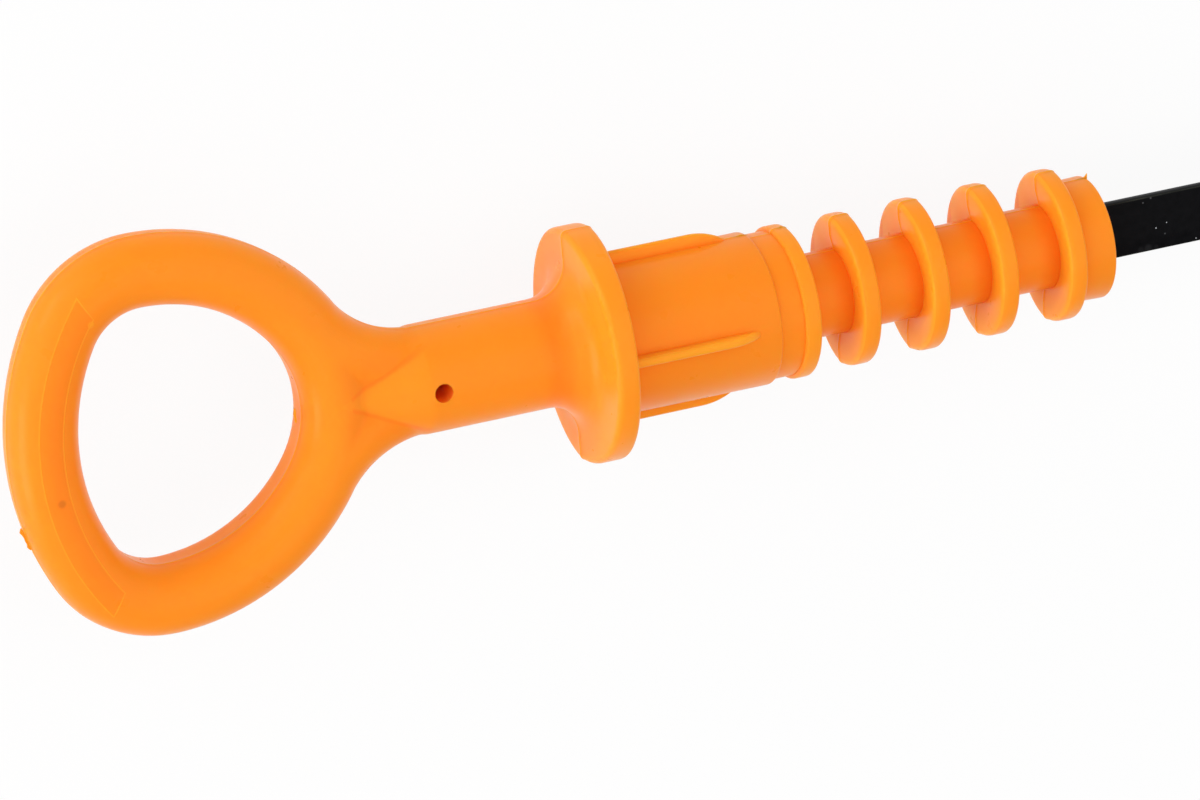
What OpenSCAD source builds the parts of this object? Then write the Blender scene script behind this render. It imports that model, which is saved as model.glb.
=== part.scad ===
// Engine oil dipstick: a moulded plastic handle on a flat steel blade.
// Millimetres. X runs along the stick from the finger loop to the blade's tip, Z is square
// to the loop, and the origin is the middle of the face that seats on the tube's mouth.

/* [Finger loop] */
// Width of the loop over both flanks
loop_w = 35; // [30:0.5:42]
// From the loop's outer end to the face that seats on the tube
loop_reach = 52.8; // [46:0.2:60]
// From the loop's outer end to its widest place
loop_wide = 12.5; // [10.5:0.1:14]
// Angle through which each corner turns, from the widest place to the end's arc
corner_turn = 62; // [56:0.5:66]
// Radius of the two flanks that lean in to the stem
loop_flank_r = 20; // [18:0.5:22]
// Thickness of the round bar that the loop is bent from
loop_bar_d = 6.1; // [5.4:0.1:7]
// Angle at which the web behind the opening leaves the flank
web_angle = 30.7; // [24:0.1:36]
// How far the loop's end and web lie below its flanks, where the mould's inserts were
insert_step = 0.05; // [0.04:0.01:0.2]
// Thickness of the flat web at the root of the loop
web_t = 4.8; // [4:0.1:5.2]
// Radius of the hollow between the loop and the stem
root_r = 8.5; // [6:0.1:11]

/* [Stem] */
// Diameter of the stem
stem_d = 9.4; // [8:0.1:11]
// From the seating face to the place where the stem's nose starts to taper
stem_nose = 19.4; // [17:0.1:22]
// Radius of the nose, seen from the side
nose_r = 7.2; // [6:0.1:9]
// Radius of the hollow where the stem meets the flange
stem_flare_r = 3; // [1:0.1:4]
// Diameter of the locating hole across the stem
pin_hole_d = 1.65; // [1.2:0.05:2.4]
// From the seating face to that hole
pin_hole_x = 16; // [12:0.1:17]

/* [Flange] */
// Diameter of the flange that covers the tube's mouth
flange_d = 20.6; // [18:0.1:26]
// Thickness of the flange
flange_t = 2.8; // [1.8:0.1:4]
// Rounding of the flange's rims
flange_round = 0.5; // [0.1:0.05:0.8]

/* [Plug] */
// Diameter of the plug
plug_d = 13.3; // [12:0.1:16]
// Length of the plug up to the groove
plug_len = 14; // [12.5:0.1:18]
// Diameter at the bottom of the groove
groove_d = 12.6; // [11:0.1:13]
// Width of the groove
groove_w = 2.1; // [1:0.1:3]
// Width of the ring that ends the plug
ring_w = 1.5; // [1:0.1:3]
// Bevel on the plug's edges
plug_edge = 0.3; // [0.1:0.05:0.5]
// Number of ribs round the plug
rib_count = 4; // [2:1:8]
// Thickness of a rib
rib_t = 0.8; // [0.5:0.05:1.5]
// Height of a rib above the plug
rib_h = 1.05; // [0.5:0.05:1.6]
// Length of a rib's straight crest
rib_len = 8.6; // [4:0.1:10]
// Length over which a rib runs out
rib_fade = 3.3; // [1.6:0.1:4]

/* [Sealing fins] */
// Number of sealing fins
fin_count = 4; // [2:1:6]
// Diameter of a fin
fin_d = 13.4; // [12:0.1:16]
// Thickness of a fin at its rim
fin_t = 1.6; // [1:0.1:2.2]
// From the seating face to the first fin
fin_first = 21.8; // [20:0.1:26]
// Distance from one fin to the next
fin_pitch = 6.47; // [4.5:0.01:9]
// Rounding of a fin's rims
fin_round = 0.25; // [0.1:0.05:0.4]
// Diameter of the core between the fins
core_d = 7.34; // [6.8:0.02:9]
// Diameter of the collar that ends the handle
collar_d = 10.76; // [9:0.02:12.5]
// From the last fin's far face to the collar's end
collar_len = 3; // [1.5:0.1:6]
// Rounding of the collar's end
collar_round = 0.4; // [0.1:0.05:0.8]

/* [Blade] */
// Overall length of the dipstick
overall_len = 400; // [250:5:700]
// Width of the blade
blade_w = 5; // [4:0.1:6]
// Thickness of the blade
blade_t = 1; // [0.6:0.1:1.5]
// How far the moulded-in end of the blade reaches past the locating hole
tang_past_hole = 3; // [2:0.1:4]
// Gap that the plastic leaves round the blade as it shrinks
tang_gap = 0.02; // [0.01:0.01:0.1]
// From the blade's tip to the low level mark
low_mark = 14; // [8:0.5:30]
// From the low level mark to the full level mark
mark_span = 20; // [10:0.5:30]
// Width of a mark's groove
mark_w = 0.8; // [0.4:0.1:1.2]
// Depth of a mark's groove
mark_depth = 0.2; // [0.1:0.05:0.3]
// Number of fine grooves between the two marks
hatch_count = 9; // [3:1:15]
// Width of a fine groove
hatch_w = 0.4; // [0.2:0.05:0.6]

/* [Hidden] */
$fn = 96;
plastic = "darkorange";
steel = "#1c1c1f";
// how far a cut runs past the material that it goes through
over = 1;
// how far one form of the moulding reaches into the next, so that they fuse as one
bite = 0.3;

bar_r = loop_bar_d / 2;
stem_r = stem_d / 2;
half_w = loop_w / 2;
wide_x = loop_wide - loop_reach;

// The loop's outline is a chain of arcs, each of which starts where the last one ends and in
// the same direction: end, corner, flank, and the hollow that leads into the stem. The
// corner's radius is kept to a whole number of micrometres.
turn_cos = cos(corner_turn);
turn_sin = sin(corner_turn);
loop_end_r = (turn_sin * half_w - loop_wide * (1 - turn_cos)) / (turn_sin + turn_cos - 1);
corner_r = round(1000 * (half_w - turn_cos * loop_end_r) / (1 - turn_cos)) / 1000;
corner_y = half_w - corner_r;
end_x = loop_end_r - loop_reach;
corner_angle = 90 + corner_turn;
flank_y = half_w - loop_flank_r;
root_y = stem_r + root_r;
root_x = wide_x + sqrt(pow(loop_flank_r + root_r, 2) - pow(root_y - flank_y, 2));
web_x = wide_x - flank_y / tan(web_angle);
web_r = loop_flank_r - loop_bar_d + flank_y / sin(web_angle);

fins_end = fin_first + (fin_count - 1) * fin_pitch + fin_t;
handle_end = fins_end + collar_len;
tang_end = -pin_hole_x - tang_past_hole;
tip_x = overall_len - loop_reach;

// A stretch of the loop's bar, bent to an arc about a point and running between two angles.
// A stretch that is sunk below its neighbours reaches a little way into them.
module bent_bar(centre, outer_r, from, to, sunk = 0) {
    reach = sunk > 0 ? bite / outer_r * 180 / PI : 0;
    translate([centre[0], centre[1], 0])
        rotate([0, 0, from - reach])
            rotate_extrude(angle = to - from + 2 * reach)
                translate([outer_r - bar_r, 0])
                    circle(r = bar_r - sunk);
}

module loop_bar() {
    bent_bar([end_x, 0], loop_end_r, corner_angle, 360 - corner_angle, insert_step);
    for (side = [1, -1])
        scale([1, side, 1]) {
            bent_bar([wide_x, corner_y], corner_r, 90, corner_angle);
            bent_bar([wide_x, flank_y], loop_flank_r, web_angle, 90);
        }
    bent_bar([web_x, 0], web_r + loop_bar_d, -web_angle, web_angle, insert_step);
}

// Flat web between the loop's flanks and the stem, hollowed on both sides
module web() {
    reach = loop_flank_r - bar_r;
    flank_in = [wide_x + reach * cos(web_angle + 12), flank_y + reach * sin(web_angle + 12)];
    difference() {
        translate([0, 0, -web_t / 2])
            linear_extrude(web_t)
                polygon([
                    [flank_in[0], flank_in[1]],
                    [root_x, stem_r],
                    [root_x, -stem_r],
                    [flank_in[0], -flank_in[1]],
                    [web_x + web_r + bar_r, 0]
                ]);
        for (side = [0, 1])
            mirror([0, side, 0])
                root_hollow();
    }
}

// The hollow beside the root. Its wall leans back in steps, as round as the loop's bar.
module root_hollow() {
    wall = [for (a = [-90, -65, -40, -15, 15, 40, 65, 90])
        [root_r + bar_r * (1 - cos(a)), bar_r * sin(a)]];
    translate([root_x, root_y - bite, 0])
        rotate_extrude()
            polygon(concat([[0, -bar_r]], wall, [[0, bar_r]]));
}

// Outline of a disc on the axis with both rims rounded, from x0 to x1
module rounded_disc(x0, x1, r, round_r) {
    rotate([0, 90, 0])
        translate([0, 0, x0])
            rotate_extrude() {
                square([r - round_r, x1 - x0]);
                translate([0, round_r])
                    square([r, x1 - x0 - 2 * round_r]);
                for (z = [round_r, x1 - x0 - round_r])
                    translate([r - round_r, z])
                        circle(r = round_r, $fn = 32);
            }
}

module round_rod(x0, x1, r) {
    translate([x0, 0, 0])
        rotate([0, 90, 0])
            cylinder(r = r, h = x1 - x0);
}

module stem() {
    round_rod(-stem_nose, -flange_t + bite, stem_r);
    // nose that dives into the web
    rotate([0, -90, 0])
        translate([0, 0, stem_nose])
            rotate_extrude()
                intersection() {
                    translate([stem_r - nose_r, 0])
                        circle(r = nose_r);
                    square([stem_r, nose_r]);
                }
    // hollow that leads out to the flange
    rotate([0, -90, 0])
        translate([0, 0, flange_t - bite])
            rotate_extrude()
                difference() {
                    square([stem_r + stem_flare_r, stem_flare_r + bite]);
                    translate([stem_r + stem_flare_r, stem_flare_r + bite])
                        circle(r = stem_flare_r);
                }
}

module plug() {
    groove_x = plug_len + groove_w;
    rotate([0, 90, 0])
        rotate_extrude()
            polygon([
                [0, -bite],
                [plug_d / 2, -bite],
                [plug_d / 2, plug_len - plug_edge],
                [plug_d / 2 - plug_edge, plug_len],
                [groove_d / 2, plug_len],
                [groove_d / 2, groove_x],
                [plug_d / 2 - plug_edge, groove_x],
                [plug_d / 2, groove_x + plug_edge],
                [plug_d / 2, groove_x + ring_w - plug_edge],
                [plug_d / 2 - plug_edge, groove_x + ring_w],
                [0, groove_x + ring_w]
            ]);
}

// One rib lying along the plug, with its far end run out into the plug on an arc
module rib() {
    crest = plug_d / 2 + rib_h;
    fade_r = (pow(rib_fade, 2) + pow(rib_h, 2)) / (2 * rib_h);
    rotate([90, 0, 0])
        translate([0, 0, -rib_t / 2])
            linear_extrude(rib_t) {
                translate([-bite, 0])
                    square([rib_len + bite, crest]);
                translate([rib_len, crest - fade_r])
                    intersection() {
                        circle(r = fade_r);
                        translate([0, fade_r - rib_h - bite])
                            square([rib_fade + bite, rib_h + bite]);
                    }
            }
}

module fins() {
    round_rod(plug_len + groove_w + ring_w - bite, fins_end, core_d / 2);
    for (k = [0 : fin_count - 1]) {
        x = fin_first + k * fin_pitch;
        rounded_disc(x, x + fin_t, fin_d / 2, fin_round);
    }
    rounded_disc(fins_end - fin_t, handle_end, collar_d / 2, collar_round);
}

// The blade's own outline, grown by a gap all round
module blade_bar(x0, x1, gap) {
    translate([x0 - gap, -blade_w / 2 - gap, -blade_t - gap])
        cube([x1 - x0 + 2 * gap, blade_w + 2 * gap, blade_t + 2 * gap]);
}

module pin_hole() {
    translate([-pin_hole_x, 0, -stem_r - over])
        cylinder(d = pin_hole_d, h = stem_d + 2 * over);
}

module handle() {
    color(plastic)
        difference() {
            union() {
                loop_bar();
                web();
                stem();
                rounded_disc(-flange_t, 0, flange_d / 2, flange_round);
                plug();
                for (k = [0 : rib_count - 1])
                    rotate([k * 360 / rib_count, 0, 0])
                        rib();
                fins();
            }
            blade_bar(tang_end, handle_end + over, tang_gap);
            pin_hole();
        }
}

// Grooves across the face that is wiped and read: two marks, with finer lines between them
module level_grooves() {
    full_mark = tip_x - low_mark - mark_span;
    for (x = [full_mark, full_mark + mark_span])
        translate([x - mark_w / 2, -blade_w / 2 - over, -mark_depth])
            cube([mark_w, blade_w + 2 * over, mark_depth + over]);
    for (k = [1 : hatch_count])
        translate([full_mark + mark_span * k / (hatch_count + 1) - hatch_w / 2, -blade_w / 2 - over,
                -mark_depth / 2])
            cube([hatch_w, blade_w + 2 * over, mark_depth / 2 + over]);
}

module blade() {
    color(steel)
        difference() {
            union() {
                blade_bar(tang_end, tip_x - blade_w / 2, 0);
                translate([tip_x - blade_w / 2, 0, -blade_t])
                    cylinder(d = blade_w, h = blade_t);
            }
            pin_hole();
            level_grooves();
        }
}

handle();
blade();
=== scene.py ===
# Engine oil dipstick: the finish of the moulded handle and its steel blade.
# Every length is in metres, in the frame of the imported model: X runs along the stick to the
# blade's tip, Z is square to the finger loop, and the origin is the middle of the seating face.
import math

import bpy
from mathutils import Matrix, Vector

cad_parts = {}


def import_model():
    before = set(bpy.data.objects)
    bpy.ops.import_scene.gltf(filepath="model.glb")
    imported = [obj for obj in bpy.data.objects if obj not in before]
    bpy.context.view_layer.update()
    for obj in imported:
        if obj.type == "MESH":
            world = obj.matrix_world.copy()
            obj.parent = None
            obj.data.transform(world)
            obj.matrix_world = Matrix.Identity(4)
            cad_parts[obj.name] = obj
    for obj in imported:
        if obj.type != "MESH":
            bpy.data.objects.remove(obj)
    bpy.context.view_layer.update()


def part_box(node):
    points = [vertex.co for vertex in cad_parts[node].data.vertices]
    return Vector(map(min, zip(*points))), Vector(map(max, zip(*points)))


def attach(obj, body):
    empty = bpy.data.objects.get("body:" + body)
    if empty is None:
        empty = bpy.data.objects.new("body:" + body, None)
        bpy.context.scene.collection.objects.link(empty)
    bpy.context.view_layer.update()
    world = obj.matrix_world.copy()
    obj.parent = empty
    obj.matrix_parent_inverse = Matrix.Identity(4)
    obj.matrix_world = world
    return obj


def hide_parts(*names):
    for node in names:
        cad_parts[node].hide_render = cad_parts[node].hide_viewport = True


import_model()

MM = 0.001
scene = bpy.context.scene

# The photograph's view: how the stick lies in it, and how far the lens stands off
VIEW_TURN = math.radians(11.99)      # the stick's rise across the picture
VIEW_DIVE = math.radians(18.75)      # how steeply the stick runs away from the lens
VIEW_ROLL = math.radians(20.5)       # how far the loop's face is rolled about the stick
VIEW_DISTANCE = 600 * MM
PIXELS_PER_MM = 11.8
PHOTO_SIZE = (1200, 800)
SEAT_PIXEL = (601.5, 340.2)          # where the middle of the seating face shows
SENSOR = 36.0                        # in millimetres, like the lens's focal length

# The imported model's own corners
HANDLE_LOW, HANDLE_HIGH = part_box("handle")
BLADE_LOW, BLADE_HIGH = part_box("blade")

# The grip: finger loop, web and stem
INSERT_STEP = 0.05 * MM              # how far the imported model's loop end is sunk
LOOP_END = HANDLE_LOW[0] - INSERT_STEP
LOOP_HALF = HANDLE_HIGH[1]
LOOP_WIDE = 12.5 * MM                # from the end to the widest place
CORNER_TURN = math.radians(62)
FLANK_R = 20 * MM
BAR_R = 3.05 * MM
BAR_STEPS = 40
LOWER_FULLNESS = (6, 2.8)            # the bar's lower half is squarer, most of all around the opening
SPIN_STEPS = {"flank": 24, "corner": 16, "end": 20, "web": 16, "root": 16}
ROOT_R = 8.5 * MM
ROOT_INSET = 0.03 * MM               # how much smaller a root's bar is in radius than the loop's
WEB_HALF = 2.4 * MM
WEB_INSET = 1.5 * MM                 # how far the web's sides lie inside the root bars
WEB_REACH = 6 * MM                   # how far the web's block reaches back from where the roots start
WEB_X = -20.8 * MM                   # the middle of what shows of the web
STEM_R = 4.7 * MM
ROUND_STEPS = 96                     # facets round the stem's grip end and round cutting rods
NOSE_X = -16.9 * MM                  # from here the stem tapers to its nose
NOSE_TIP = (-23.9 * MM, 2.2 * MM)
NOSE_STEPS = 12
NOSE_POWER = 1.1                     # one makes the nose a plain cone, and more makes it fuller
NOSE_CLOSE = 0.3 * MM                # the length in which the nose closes to a point
PIN_HOLE_X = -16 * MM
PIN_HOLE_R = 0.825 * MM
HOLE_STEPS = 64
GRIP_GRAIN = 0.22 * MM               # the size of the cubes that the grip is melted together from
JOIN_X = -11 * MM                    # where the shaped grip meets the turned shank
JOIN_GAP = 0.5 * MM                  # the gap that is bridged there
STEM_LAP = 3 * MM                    # how far the grip's stem reaches past the join before it is cut
SHANK_LAP = 1 * MM                   # how far the shank reaches past it the other way

# The turned shank
FLANGE_R = HANDLE_HIGH[2]
FLANGE_T = 2.8 * MM
FLANGE_ROUND = (0.5 * MM, 0.4 * MM)  # towards the loop, and towards the tip
FLARE_R = 3 * MM
PLUG_R = 6.65 * MM
PLUG_LEN = 14 * MM
PLUG_EDGE = 0.3 * MM
GROOVE_R = 6.3 * MM
GROOVE_W = 2.1 * MM
RING_W = 1.5 * MM
RING_X = PLUG_LEN + GROOVE_W
RING_END = RING_X + RING_W
RIB_COUNT = 4
RIB_T = 0.8 * MM
RIB_H = 1.05 * MM
RIB_LEN = 8.6 * MM
RIB_FADE = 3.3 * MM
RIB_DIVE = 0.06                      # how much further a rib's end turns, to finish inside the plug
RIB_EDGE = 0.32 * MM
CORE_R = 3.67 * MM
FIN_R = 6.7 * MM
FIN_T = 1.6 * MM
FIN_FIRST = 21.8 * MM
FIN_PITCH = 6.47 * MM
FIN_COUNT = 4
FIN_PLACES = [FIN_FIRST + k * FIN_PITCH for k in range(FIN_COUNT)]
FIN_ROUND = (0.55 * MM, 0.35 * MM)
COLLAR_R = 5.38 * MM
COLLAR_END = HANDLE_HIGH[0]
COLLAR_ROUND = 0.22 * MM
TURN_STEPS = 144                     # facets round the shank
FACE_STEPS = 4                       # rings across a flat face, and along the plain stem

# What the mould left: leaning faces, a ridge at the parting plane, and flash
FLANGE_FOOT = STEM_R + 1 * MM        # the radius from which a disc's faces lean
FIN_FOOT = CORE_R + 0.1 * MM
LEAN_RAMP = 1 * MM                   # how far out from its foot a face leans in full
FLANGE_LEAN = (0.04, 0.04)           # the slope of a disc's faces, above and below the parting plane
FIN_LEAN = (0.025, 0.065)
FIN_SWELL = 0.3 * MM                 # how far a fin's face towards the loop stands out
DISC_MARGIN = 0.8 * MM               # how far before its face a disc's shape starts
RIM_SHIFT = 0.3 * MM                 # how far each half of a rim is drawn in to the parting plane
RIDGE_H = 0.08 * MM
ON_PLANE = 0.002 * MM                # points this near the parting plane lie on it
GRIP_RIDGE = (0.3 * MM, 0.7 * RIDGE_H)
SHANK_RIDGE = (ON_PLANE, 0.6 * RIDGE_H)
FLASH_T = 0.12 * MM
FLASH_FOOT = 0.3 * MM                # how deep a strip of flash is rooted in the part

# The blade
TANG_GAP = 0.02 * MM
BLADE_EDGE = 0.12 * MM
LOW_MARK = 14 * MM                   # from the tip to the lower mark
MARK_SPAN = 20 * MM
MARK_W = 0.8 * MM
MARK_DEPTH = 0.2 * MM
HATCH_COUNT = 9
HATCH_W = 0.4 * MM

# Working values
MEND_GAP = 0.001 * MM                # points nearer than this become one
SLACK = 0.1 * MM                     # allowance in tests of place
CLEAR = 1 * MM                       # how far a cutting block stands out of what it cuts
SMOOTH_ANGLE = math.radians(32)      # edges sharper than this stay sharp

# Finishes. Colours are linear; specks are given as place, radius and strength
ORANGE_DEEP = (0.96, 0.262, 0.013, 1)
ORANGE_CLEAR = (0.975, 0.287, 0.015, 1)
# painted shade colour, for hollows, creases, the web, the plug, the loop's end, beside the parting
# ridge, and in part the pad
ORANGE_RED = (0.97, 0.185, 0.009, 1)
# painted light colour, for rims, ribs, fins, the pad's outline and the parting ridge
ORANGE_PALE = (0.99, 0.360, 0.020, 1)
# painted light: the pin hole's wall, red for light that comes through the plastic
HOLE_RED = (1.0, 0.24, 0.02, 1)
DIRT = (0.30, 0.045, 0.012, 1)
SPEAR_TIP = (-23.3 * MM, 0.65 * MM)
SPEAR_SPREAD = 0.48
PAD_HALF = 1.03 * MM
PAD_TURN = math.radians(36.3)
PAD_SLANT = 0.45                     # how much further its end reaches on the outer side
# painted highlight: a glint at the corner of the pad
PAD_CORNER_GLINT = (
    ((-45.15 * MM, 11.65 * MM, 2.92 * MM), 0.26 * MM, 1.5),
)
PLASTIC_SPECKS = (
    ((-49.41 * MM, -3.14 * MM, 3.03 * MM), 0.34 * MM, 0.33),
    ((-21.74 * MM, -0.75 * MM, 4.22 * MM), 0.10 * MM, 0.35),
    ((-2.44 * MM, 1.78 * MM, 8.79 * MM), 0.10 * MM, 0.35),
)
STEEL_SPECKS = (
    ((52.11 * MM, -0.51 * MM, 0), 0.06 * MM, 1.0),
    ((53.15 * MM, -0.20 * MM, 0), 0.05 * MM, 0.9),
    ((52.93 * MM, -1.18 * MM, 0), 0.07 * MM, 0.12),
    ((51.01 * MM, 2.02 * MM, 0), 0.07 * MM, 0.14),
    ((51.77 * MM, 2.32 * MM, 0), 0.08 * MM, 0.12),
    ((55.88 * MM, -2.20 * MM, 0), 0.06 * MM, 0.6),
    ((50.55 * MM, -2.2 * MM, 0), 0.26 * MM, 0.012),
    ((51.25 * MM, -2.2 * MM, 0), 0.34 * MM, 0.018),
    ((52.0 * MM, -2.25 * MM, 0), 0.22 * MM, 0.008),
)
COAT_DARK = (0.0025, 0.0025, 0.0028, 1)
COAT_CLEAR = (0.007, 0.007, 0.008, 1)
# painted highlight along the strip's long edges
COAT_EDGE_SHEEN = (0.07, 0.075, 0.06, 1)
DUST = (0.5, 0.52, 0.55, 1)

# How strongly each place of the plastic is tinted, and how high its surface marks stand
# painted shade: plug, corner, crease, web, flare, loop_end, beside_parting, and the pad in part; painted
# light: flange, ribs, ring, fins, fin_face, pad_line, parting
TINT = {
    "plug": 0.2,
    "corner": 0.75,
    "crease": 0.7,
    "web": 0.3,
    "flare": 0.35,
    "loop_end": 0.22,
    "flange": 0.3,
    "ribs": 0.8,
    "ring": 0.45,
    "fins": 0.35,
    "fin_face": 0.95,
    "pad": 0.28,
    "pad_line": 0.6,
    "parting": 0.6,
    "beside_parting": 0.3,
}
SINK_H = 0.09 * MM
SKIN_H = 0.0016 * MM
PARTING_H = 0.05 * MM
PAD_H = -0.03 * MM
PAD_LINE_H = 0.022 * MM

# The studio
FLOOR_SIZE = 6
FLOOR_GAP = 0.02 * MM
FLOOR_MATT = 0.86
FLOOR_WHITE = 0.9                    # how much plain white the lens and gloss see in the floor
SURROUND = 0.51
BOX_DISTANCE = 0.7
# each soft box by its name, the lens's right, up and back, its width and its power in watts
SOFT_BOXES = (
    ("box_upper_left", (-0.85, 0.42, 0.35), 0.36, 2.7),
    ("box_lower_left", (-0.85, -0.45, 0.3), 0.36, 2.3),
    ("box_front_left", (-0.6, 0.3, 0.8), 0.8, 1.9),
    ("box_front_right", (0.8, 0, 0.6), 0.8, 1.9),
    ("box_front_low", (0, -0.6, 0.8), 0.8, 1.3),
)


# Helpers for selecting and shaping

def only(obj):
    bpy.ops.object.select_all(action="DESELECT")
    obj.select_set(True)
    bpy.context.view_layer.objects.active = obj


def object_mode():
    bpy.ops.object.mode_set(mode="OBJECT")


def edit_mode(kind):
    bpy.ops.object.mode_set(mode="EDIT")
    bpy.ops.mesh.select_mode(type=kind)


def unpick(obj):
    """Leaves nothing of a mesh selected."""
    only(obj)
    bpy.ops.object.mode_set(mode="EDIT")
    bpy.ops.mesh.select_all(action="DESELECT")
    object_mode()


def pick_points(obj, test):
    """Selects just the points whose place passes the test, and goes to edit mode."""
    unpick(obj)
    for point in obj.data.vertices:
        point.select = test(point.co)
    edit_mode("VERT")


def pick_edges(obj, test):
    """Selects just the edges whose two ends pass the test, and goes to edit mode."""
    unpick(obj)
    points = obj.data.vertices
    for edge in obj.data.edges:
        edge.select = test(*(points[v].co for v in edge.vertices))
    edit_mode("EDGE")


def pick_rims(obj):
    """Selects the open rims of a mesh, and goes to edit mode."""
    unpick(obj)
    edit_mode("EDGE")
    bpy.ops.mesh.select_non_manifold()


def pick_all(obj):
    """Selects the whole of a mesh, and goes to edit mode."""
    unpick(obj)
    bpy.ops.object.mode_set(mode="EDIT")
    bpy.ops.mesh.select_all(action="SELECT")


def apply_place(obj):
    only(obj)
    bpy.ops.object.transform_apply(location=True, rotation=True, scale=True)


def apply_modifier(obj, kind, **settings):
    only(obj)
    modifier = obj.modifiers.new(kind.lower(), kind)
    for key, value in settings.items():
        setattr(modifier, key, value)
    bpy.ops.object.modifier_apply(modifier=modifier.name)


def named(name):
    obj = bpy.context.active_object
    obj.name = name
    obj.data.name = name
    return obj


def mend(obj):
    """Merges doubled points and points every face outwards."""
    pick_all(obj)
    bpy.ops.mesh.remove_doubles(threshold=MEND_GAP)
    bpy.ops.mesh.normals_make_consistent(inside=False)
    object_mode()


def join(target, *others):
    bpy.ops.object.select_all(action="DESELECT")
    for obj in (target, *others):
        obj.select_set(True)
    bpy.context.view_layer.objects.active = target
    bpy.ops.object.join()
    return target


def cut(obj, tool, operation="DIFFERENCE"):
    apply_modifier(obj, "BOOLEAN", object=tool, operation=operation, solver="EXACT")
    bpy.data.objects.remove(tool)


# The grip: loop, web, stem

def loop_centres():
    """The arcs of the loop's outline, worked out as in the part's own drawing."""
    wide_x = LOOP_END + LOOP_WIDE
    turn_cos, turn_sin = math.cos(CORNER_TURN), math.sin(CORNER_TURN)
    end_r = (turn_sin * LOOP_HALF - LOOP_WIDE * (1 - turn_cos)) / (turn_sin + turn_cos - 1)
    corner_r = (LOOP_HALF - turn_cos * end_r) / (1 - turn_cos)
    flank_y = LOOP_HALF - FLANK_R
    root_y = STEM_R + ROOT_R
    root_x = wide_x + math.sqrt((FLANK_R + ROOT_R) ** 2 - (root_y - flank_y) ** 2)
    root_angle = math.atan2(root_y - flank_y, root_x - wide_x)
    web_x = wide_x - flank_y / math.tan(root_angle)
    return {
        "end": (LOOP_END + end_r, 0),
        "corner": (wide_x, LOOP_HALF - corner_r),
        "flank": (wide_x, flank_y),
        "root": (root_x, root_y),
        "web": (web_x, 0),
        "angle": root_angle,
    }


def spin_on(angle, centre, steps):
    """Spins the selected rim on about an upright axis, anticlockwise from above for a positive
    angle. The new rim is left selected."""
    bpy.ops.mesh.spin(steps=steps, angle=angle, center=(centre[0], centre[1], 0), axis=(0, 0, -1))


def bar_section(name, x, y, heading, radius, fullness=(2, 2)):
    """One section of the bar, square to its heading, with its rim selected. It is round, but for
    its lower half, which may be fuller than round on the inner and the outer side."""
    bpy.ops.mesh.primitive_circle_add(vertices=BAR_STEPS, radius=radius, location=(x, y, 0),
                                      rotation=(math.pi / 2, 0, heading))
    obj = named(name)
    for point in obj.data.vertices:
        across, up = point.co.x / radius, point.co.y / radius
        power = 2 / fullness[0 if across < 0 else 1] if up < 0 else 1
        point.co.x = math.copysign(radius * abs(across) ** power, across)
        point.co.y = math.copysign(radius * abs(up) ** power, up)
    apply_place(obj)
    pick_points(obj, lambda co: True)
    return obj


def make_loop(arcs):
    """The whole loop: a section of the bar, spun on from one flank round the end to the web."""
    angle = arcs["angle"]
    flank_x, flank_y = arcs["flank"]
    reach = FLANK_R - BAR_R
    ring = bar_section("loop", flank_x + reach * math.cos(angle), flank_y + reach * math.sin(angle),
                       angle, BAR_R, LOWER_FULLNESS)
    flank_turn = math.pi / 2 - angle
    for name, side, turn in (("flank", 1, flank_turn), ("corner", 1, CORNER_TURN),
                             ("end", 1, math.pi - 2 * CORNER_TURN),
                             ("corner", -1, CORNER_TURN), ("flank", -1, flank_turn),
                             ("web", 1, 2 * angle)):
        centre_x, centre_y = arcs[name]
        spin_on(turn, (centre_x, side * centre_y), SPIN_STEPS[name])
    object_mode()
    mend(ring)
    return ring


def make_root(arcs, side):
    """The bar that leads from a flank into the stem, hollow to the outside, with its ends closed."""
    angle = arcs["angle"]
    root_x, root_y = arcs["root"]
    reach = ROOT_R + BAR_R
    root = bar_section("root", root_x - reach * math.cos(angle),
                       side * (root_y - reach * math.sin(angle)), side * angle, BAR_R - ROOT_INSET)
    spin_on(side * (math.pi / 2 - angle), (root_x, side * root_y), SPIN_STEPS["root"])
    object_mode()
    close_rims(root)
    mend(root)
    return root


def close_rims(obj):
    pick_rims(obj)
    bpy.ops.mesh.edge_face_add()
    object_mode()


def block(name, low, high):
    """A box between two corners."""
    size = [b - a for a, b in zip(low, high)]
    middle = [(a + b) / 2 for a, b in zip(low, high)]
    bpy.ops.mesh.primitive_cube_add(size=1, location=middle)
    obj = named(name)
    bpy.ops.transform.resize(value=size)
    apply_place(obj)
    return obj


def upright_rod(name, x, y, radius, half_height, steps=ROUND_STEPS):
    bpy.ops.mesh.primitive_cylinder_add(vertices=steps, radius=radius, depth=2 * half_height,
                                        location=(x, y, 0))
    obj = named(name)
    apply_place(obj)
    return obj


def make_web(arcs):
    """The flat web between the roots, the stem and the bar behind the opening."""
    angle = arcs["angle"]
    reach = FLANK_R - BAR_R
    flank_x = arcs["flank"][0] + reach * math.cos(angle)
    flank_y = arcs["flank"][1] + reach * math.sin(angle)
    root_x, root_y = arcs["root"]
    web = block("web", (flank_x - WEB_REACH, -flank_y, -WEB_HALF), (root_x, flank_y, WEB_HALF))
    for side in (1, -1):
        cut(web, upright_rod("hollow", root_x, side * root_y, ROOT_R + WEB_INSET, 2 * WEB_HALF))
    opening_r = (flank_x - arcs["web"][0]) / math.cos(angle)
    cut(web, upright_rod("opening", *arcs["web"], opening_r, 2 * WEB_HALF))
    return web


def start_ring(name, x, radius, steps):
    """A round section of the stick, square to its axis, with its points selected."""
    bpy.ops.mesh.primitive_circle_add(vertices=steps, radius=radius, location=(x, 0, 0),
                                      rotation=(0, math.pi / 2, 0))
    obj = named(name)
    apply_place(obj)
    pick_points(obj, lambda co: True)
    return obj


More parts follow.
